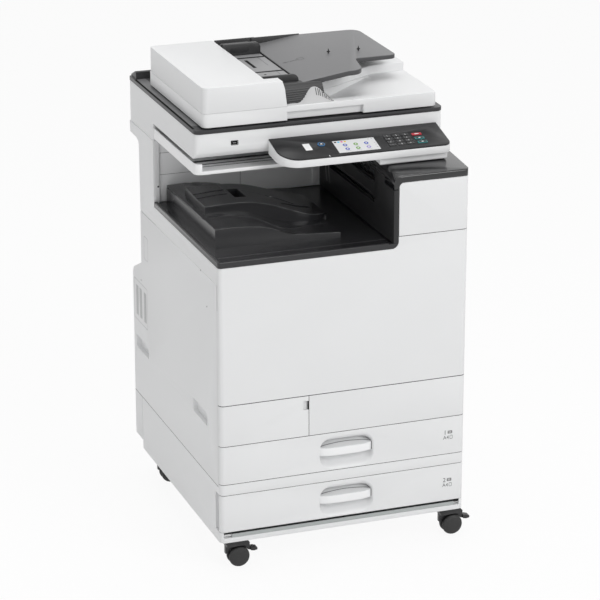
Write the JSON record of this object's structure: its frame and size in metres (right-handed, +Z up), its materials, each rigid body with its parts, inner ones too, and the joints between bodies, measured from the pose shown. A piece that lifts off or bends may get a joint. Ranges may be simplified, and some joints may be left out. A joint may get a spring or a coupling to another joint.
{
  "type": "office photocopier",
  "caption": "Freestanding office copier on casters with paper drawers, output bay, side toner tower, flatbed scanner, document feeder and tilted touch panel with keypad.",
  "frame": {"origin": "floor level under the centre of the bounding box", "axes": "+X to the right seen from the front, +Y to the back, +Z up"},
  "size_m": [0.62, 0.6558, 1.0898],
  "materials": {
    "white_plastic": "fine satin texture",
    "grey_plastic": "fine matt texture",
    "dark_plastic": "fine matt texture",
    "gloss_black": "smooth gloss",
    "steel_frame": "plain sheet",
    "rubber": "matt",
    "screen_glass": "smooth, backlit",
    "platen_glass": "clear",
    "red_key": "satin",
    "teal_key": "satin",
    "blue_ring": "satin"
  },
  "bodies": {
    "machine": {"bank_frame": "white_plastic", "main_frame": "steel_frame", "left_cover": "white_plastic", "left_upper_cover": "white_plastic", "rear_cover": "white_plastic", "right_cover": "white_plastic", "lower_right_panel": "white_plastic", "toner_rack": "dark_plastic", "exit_tray": "dark_plastic", "exit_back_wall": "white_plastic", "tower_inner_cover": "dark_plastic", "tower_top_cover": "gloss_black", "scanner_body": "white_plastic", "scanner_top_frame": "dark_plastic", "platen_glass": "platen_glass", "shelf_tray": "white_plastic", "panel_body": "white_plastic", "panel_face": "gloss_black", "touch_screen": "screen_glass"},
    "lower_drawer": {"lower_drawer": "white_plastic"},
    "bank_door": {"bank_door": "white_plastic"},
    "upper_drawer": {"upper_drawer": "white_plastic"},
    "right_door": {"right_door": "white_plastic"},
    "bypass_tray": {"bypass_tray": "white_plastic"},
    "front_cover": {"front_cover": "white_plastic"},
    "toner_cover": {"toner_cover": "white_plastic"},
    "waste_toner_door": {"waste_toner_door": "white_plastic"},
    "platen_cover": {"platen_cover": "white_plastic"},
    "feed_cover": {"feed_cover": "white_plastic"},
    "scan_carriage": {"scan_carriage": "dark_plastic"},
    "feed_roller": {"feed_roller": "rubber"},
    "document_tray": {"document_tray": "grey_plastic"},
    "front_guide": {"front_guide": "dark_plastic"},
    "rear_guide": {"rear_guide": "dark_plastic"},
    "key_1": {"key_1": "dark_plastic"},
    "key_2": {"key_2": "dark_plastic"},
    "key_3": {"key_3": "dark_plastic"},
    "key_4": {"key_4": "dark_plastic"},
    "key_5": {"key_5": "dark_plastic"},
    "key_6": {"key_6": "dark_plastic"},
    "key_7": {"key_7": "dark_plastic"},
    "key_8": {"key_8": "dark_plastic"},
    "key_9": {"key_9": "dark_plastic"},
    "key_star": {"key_star": "dark_plastic"},
    "key_0": {"key_0": "dark_plastic"},
    "key_hash": {"key_hash": "dark_plastic"},
    "key_stop": {"key_stop": "red_key"},
    "key_start_mono": {"key_start_mono": "teal_key"},
    "key_start_colour": {"key_start_colour": "teal_key"},
    "key_home": {"key_home": "blue_ring"},
    "caster_fork_front_left": {"caster_fork_front_left": "dark_plastic"},
    "caster_wheel_front_left": {"caster_wheel_front_left": "rubber"},
    "caster_fork_front_right": {"caster_fork_front_right": "dark_plastic"},
    "caster_wheel_front_right": {"caster_wheel_front_right": "rubber"},
    "caster_fork_rear_left": {"caster_fork_rear_left": "dark_plastic"},
    "caster_wheel_rear_left": {"caster_wheel_rear_left": "rubber"},
    "caster_fork_rear_right": {"caster_fork_rear_right": "dark_plastic"},
    "caster_wheel_rear_right": {"caster_wheel_rear_right": "rubber"},
    "brake_lever_front_left": {"brake_lever_front_left": "dark_plastic"},
    "brake_lever_front_right": {"brake_lever_front_right": "dark_plastic"}
  },
  "joints": [
    {"name": "lower_drawer_slide", "type": "slide", "parent": "machine", "child": "lower_drawer", "axis": [0, -1, 0], "range_m": [0, 0.4]},
    {"name": "upper_drawer_slide", "type": "slide", "parent": "machine", "child": "upper_drawer", "axis": [0, -1, 0], "range_m": [0, 0.4]},
    {"name": "front_cover_hinge", "type": "hinge", "parent": "machine", "child": "front_cover", "pos_m": [-0.0165, -0.3279, 0.4078], "axis": [1, 0, 0], "range_deg": [0, 85]},
    {"name": "toner_cover_hinge", "type": "hinge", "parent": "machine", "child": "toner_cover", "pos_m": [0.1935, -0.3279, 0.7559], "axis": [1, 0, 0], "range_deg": [0, 85]},
    {"name": "waste_toner_door_hinge", "type": "hinge", "parent": "machine", "child": "waste_toner_door", "pos_m": [-0.31, -0.3154, 0.3585], "axis": [0, 0, -1], "range_deg": [0, 90]},
    {"name": "right_door_hinge", "type": "hinge", "parent": "machine", "child": "right_door", "pos_m": [0.277, 0.1715, 0.51075], "axis": [0, 0, 1], "range_deg": [0, 80]},
    {"name": "bypass_tray_hinge", "type": "hinge", "parent": "right_door", "child": "bypass_tray", "pos_m": [0.277, -0.0579, 0.4201], "axis": [0, 1, 0], "range_deg": [0, 80]},
    {"name": "bank_door_hinge", "type": "hinge", "parent": "machine", "child": "bank_door", "pos_m": [0.277, 0.2107, 0.135], "axis": [0, 0, 1], "range_deg": [0, 90]},
    {"name": "scan_carriage_slide", "type": "slide", "parent": "machine", "child": "scan_carriage", "axis": [1, 0, 0], "range_m": [0, 0.39]},
    {"name": "key_1_press", "type": "slide", "parent": "machine", "child": "key_1", "axis": [0, 0.2448, -0.9696], "range_m": [0, 0.0008], "stiffness_N_per_m": 400, "springref_m": -0.001},
    {"name": "key_2_press", "type": "slide", "parent": "machine", "child": "key_2", "axis": [0, 0.2448, -0.9696], "range_m": [0, 0.0008], "stiffness_N_per_m": 400, "springref_m": -0.001},
    {"name": "key_3_press", "type": "slide", "parent": "machine", "child": "key_3", "axis": [0, 0.2448, -0.9696], "range_m": [0, 0.0008], "stiffness_N_per_m": 400, "springref_m": -0.001},
    {"name": "key_4_press", "type": "slide", "parent": "machine", "child": "key_4", "axis": [0, 0.2448, -0.9696], "range_m": [0, 0.0008], "stiffness_N_per_m": 400, "springref_m": -0.001},
    {"name": "key_5_press", "type": "slide", "parent": "machine", "child": "key_5", "axis": [0, 0.2448, -0.9696], "range_m": [0, 0.0008], "stiffness_N_per_m": 400, "springref_m": -0.001},
    {"name": "key_6_press", "type": "slide", "parent": "machine", "child": "key_6", "axis": [0, 0.2448, -0.9696], "range_m": [0, 0.0008], "stiffness_N_per_m": 400, "springref_m": -0.001},
    {"name": "key_7_press", "type": "slide", "parent": "machine", "child": "key_7", "axis": [0, 0.2448, -0.9696], "range_m": [0, 0.0008], "stiffness_N_per_m": 400, "springref_m": -0.001},
    {"name": "key_8_press", "type": "slide", "parent": "machine", "child": "key_8", "axis": [0, 0.2448, -0.9696], "range_m": [0, 0.0008], "stiffness_N_per_m": 400, "springref_m": -0.001},
    {"name": "key_9_press", "type": "slide", "parent": "machine", "child": "key_9", "axis": [0, 0.2448, -0.9696], "range_m": [0, 0.0008], "stiffness_N_per_m": 400, "springref_m": -0.001},
    {"name": "key_star_press", "type": "slide", "parent": "machine", "child": "key_star", "axis": [0, 0.2448, -0.9696], "range_m": [0, 0.0008], "stiffness_N_per_m": 400, "springref_m": -0.001},
    {"name": "key_0_press", "type": "slide", "parent": "machine", "child": "key_0", "axis": [0, 0.2448, -0.9696], "range_m": [0, 0.0008], "stiffness_N_per_m": 400, "springref_m": -0.001},
    {"name": "key_hash_press", "type": "slide", "parent": "machine", "child": "key_hash", "axis": [0, 0.2448, -0.9696], "range_m": [0, 0.0008], "stiffness_N_per_m": 400, "springref_m": -0.001},
    {"name": "key_stop_press", "type": "slide", "parent": "machine", "child": "key_stop", "axis": [0, 0.2448, -0.9696], "range_m": [0, 0.0008], "stiffness_N_per_m": 400, "springref_m": -0.001},
    {"name": "key_start_mono_press", "type": "slide", "parent": "machine", "child": "key_start_mono", "axis": [0, 0.2448, -0.9696], "range_m": [0, 0.0008], "stiffness_N_per_m": 400, "springref_m": -0.001},
    {"name": "key_start_colour_press", "type": "slide", "parent": "machine", "child": "key_start_colour", "axis": [0, 0.2448, -0.9696], "range_m": [0, 0.0008], "stiffness_N_per_m": 400, "springref_m": -0.001},
    {"name": "key_home_press", "type": "slide", "parent": "machine", "child": "key_home", "axis": [0, 0.2448, -0.9696], "range_m": [0, 0.0008], "stiffness_N_per_m": 400, "springref_m": -0.001},
    {"name": "platen_cover_hinge", "type": "hinge", "parent": "machine", "child": "platen_cover", "pos_m": [-0.0165, 0.2771, 1.0055], "axis": [-1, 0, 0], "range_deg": [0, 70]},
    {"name": "feed_cover_hinge", "type": "hinge", "parent": "platen_cover", "child": "feed_cover", "pos_m": [-0.2895, -0.1699, 1.0301], "axis": [0, -1, 0], "range_deg": [0, 60]},
    {"name": "feed_roller_spin", "type": "hinge", "parent": "feed_cover", "child": "feed_roller", "pos_m": [-0.1565, 0.0356, 1.0735], "axis": [0, 1, 0], "continuous": true},
    {"name": "document_tray_hinge", "type": "hinge", "parent": "platen_cover", "child": "document_tray", "pos_m": [-0.0449, 0.04485, 1.0705], "axis": [0, -1, 0], "range_deg": [0, 50]},
    {"name": "front_guide_slide", "type": "slide", "parent": "platen_cover", "child": "front_guide", "axis": [0, 1, 0], "range_m": [0, 0.095]},
    {"name": "rear_guide_slide", "type": "slide", "parent": "platen_cover", "child": "rear_guide", "axis": [0, -1, 0], "range_m": [0, 0.095]},
    {"name": "caster_swivel_front_left", "type": "hinge", "parent": "machine", "child": "caster_fork_front_left", "pos_m": [-0.277, -0.2829, 0.0777], "axis": [0, 0, 1], "continuous": true},
    {"name": "caster_axle_front_left", "type": "hinge", "parent": "caster_fork_front_left", "child": "caster_wheel_front_left", "pos_m": [-0.255, -0.2829, 0.0245], "axis": [0, 1, 0], "continuous": true},
    {"name": "brake_lever_hinge_front_left", "type": "hinge", "parent": "caster_fork_front_left", "child": "brake_lever_front_left", "pos_m": [-0.2355, -0.2829, 0.045], "axis": [0, 1, 0], "range_deg": [0, 12]},
    {"name": "caster_swivel_front_right", "type": "hinge", "parent": "machine", "child": "caster_fork_front_right", "pos_m": [0.244, -0.2829, 0.0777], "axis": [0, 0, 1], "continuous": true},
    {"name": "caster_axle_front_right", "type": "hinge", "parent": "caster_fork_front_right", "child": "caster_wheel_front_right", "pos_m": [0.266, -0.2829, 0.0245], "axis": [0, 1, 0], "continuous": true},
    {"name": "brake_lever_hinge_front_right", "type": "hinge", "parent": "caster_fork_front_right", "child": "brake_lever_front_right", "pos_m": [0.2855, -0.2829, 0.045], "axis": [0, 1, 0], "range_deg": [0, 12]},
    {"name": "caster_swivel_rear_left", "type": "hinge", "parent": "machine", "child": "caster_fork_rear_left", "pos_m": [-0.277, 0.2301, 0.0777], "axis": [0, 0, 1], "continuous": true},
    {"name": "caster_axle_rear_left", "type": "hinge", "parent": "caster_fork_rear_left", "child": "caster_wheel_rear_left", "pos_m": [-0.255, 0.2301, 0.0245], "axis": [0, 1, 0], "continuous": true},
    {"name": "caster_swivel_rear_right", "type": "hinge", "parent": "machine", "child": "caster_fork_rear_right", "pos_m": [0.244, 0.2301, 0.0777], "axis": [0, 0, 1], "continuous": true},
    {"name": "caster_axle_rear_right", "type": "hinge", "parent": "caster_fork_rear_right", "child": "caster_wheel_rear_right", "pos_m": [0.266, 0.2301, 0.0245], "axis": [0, 1, 0], "continuous": true}
  ],
  "couplings": [
    {"joint": "rear_guide_slide", "follows": "front_guide_slide", "ratio": 1}
  ]
}
